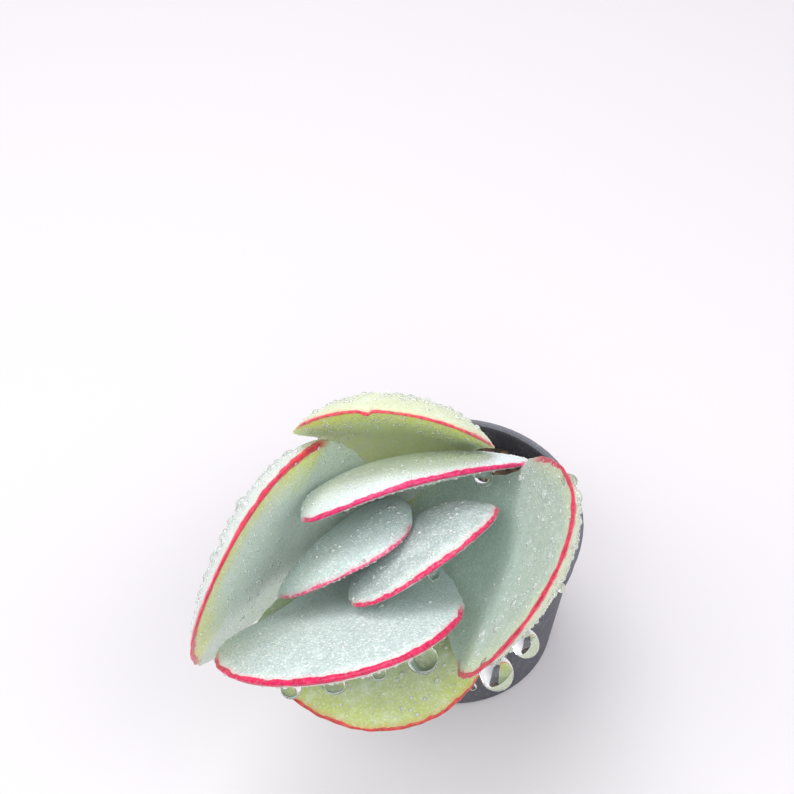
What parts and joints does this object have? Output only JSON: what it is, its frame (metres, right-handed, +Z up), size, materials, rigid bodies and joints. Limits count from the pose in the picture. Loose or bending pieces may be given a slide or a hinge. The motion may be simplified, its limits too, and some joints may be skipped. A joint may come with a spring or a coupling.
{
  "type": "potted succulent plant",
  "caption": "Small leaning succulent with thick round silver leaves in crossed pairs, standing in a soil-filled round nursery pot; rests on its flat base.",
  "frame": {"origin": "middle of the pot's flat base, on the surface it stands on", "axes": "+Z up along the pot's axis; the plant leans out of the pot towards -Y; +X to the right when looking along +Y"},
  "size_m": [0.0895, 0.0972, 0.1165],
  "materials": {
    "pot_plastic": "matte charcoal moulded plastic with faint pale mineral specks",
    "potting_mix": "rough dark brown crumbly potting mix with pale grit",
    "stem_bark": "matte grey-brown bark with leaf scars",
    "leaf": "thick waxy leaf with a silvery bloom and a thin crimson margin"
  },
  "bodies": {
    "root": {"pot": "pot_plastic", "soil": "potting_mix", "stem": "stem_bark", "leaf_first_back": "leaf", "leaf_second_left": "leaf", "leaf_third_back": "leaf", "leaf_heart_left": "leaf", "leaf_heart_right": "leaf", "leaf_third_front": "leaf", "leaf_second_right": "leaf", "leaf_first_front": "leaf"}
  },
  "joints": []
}
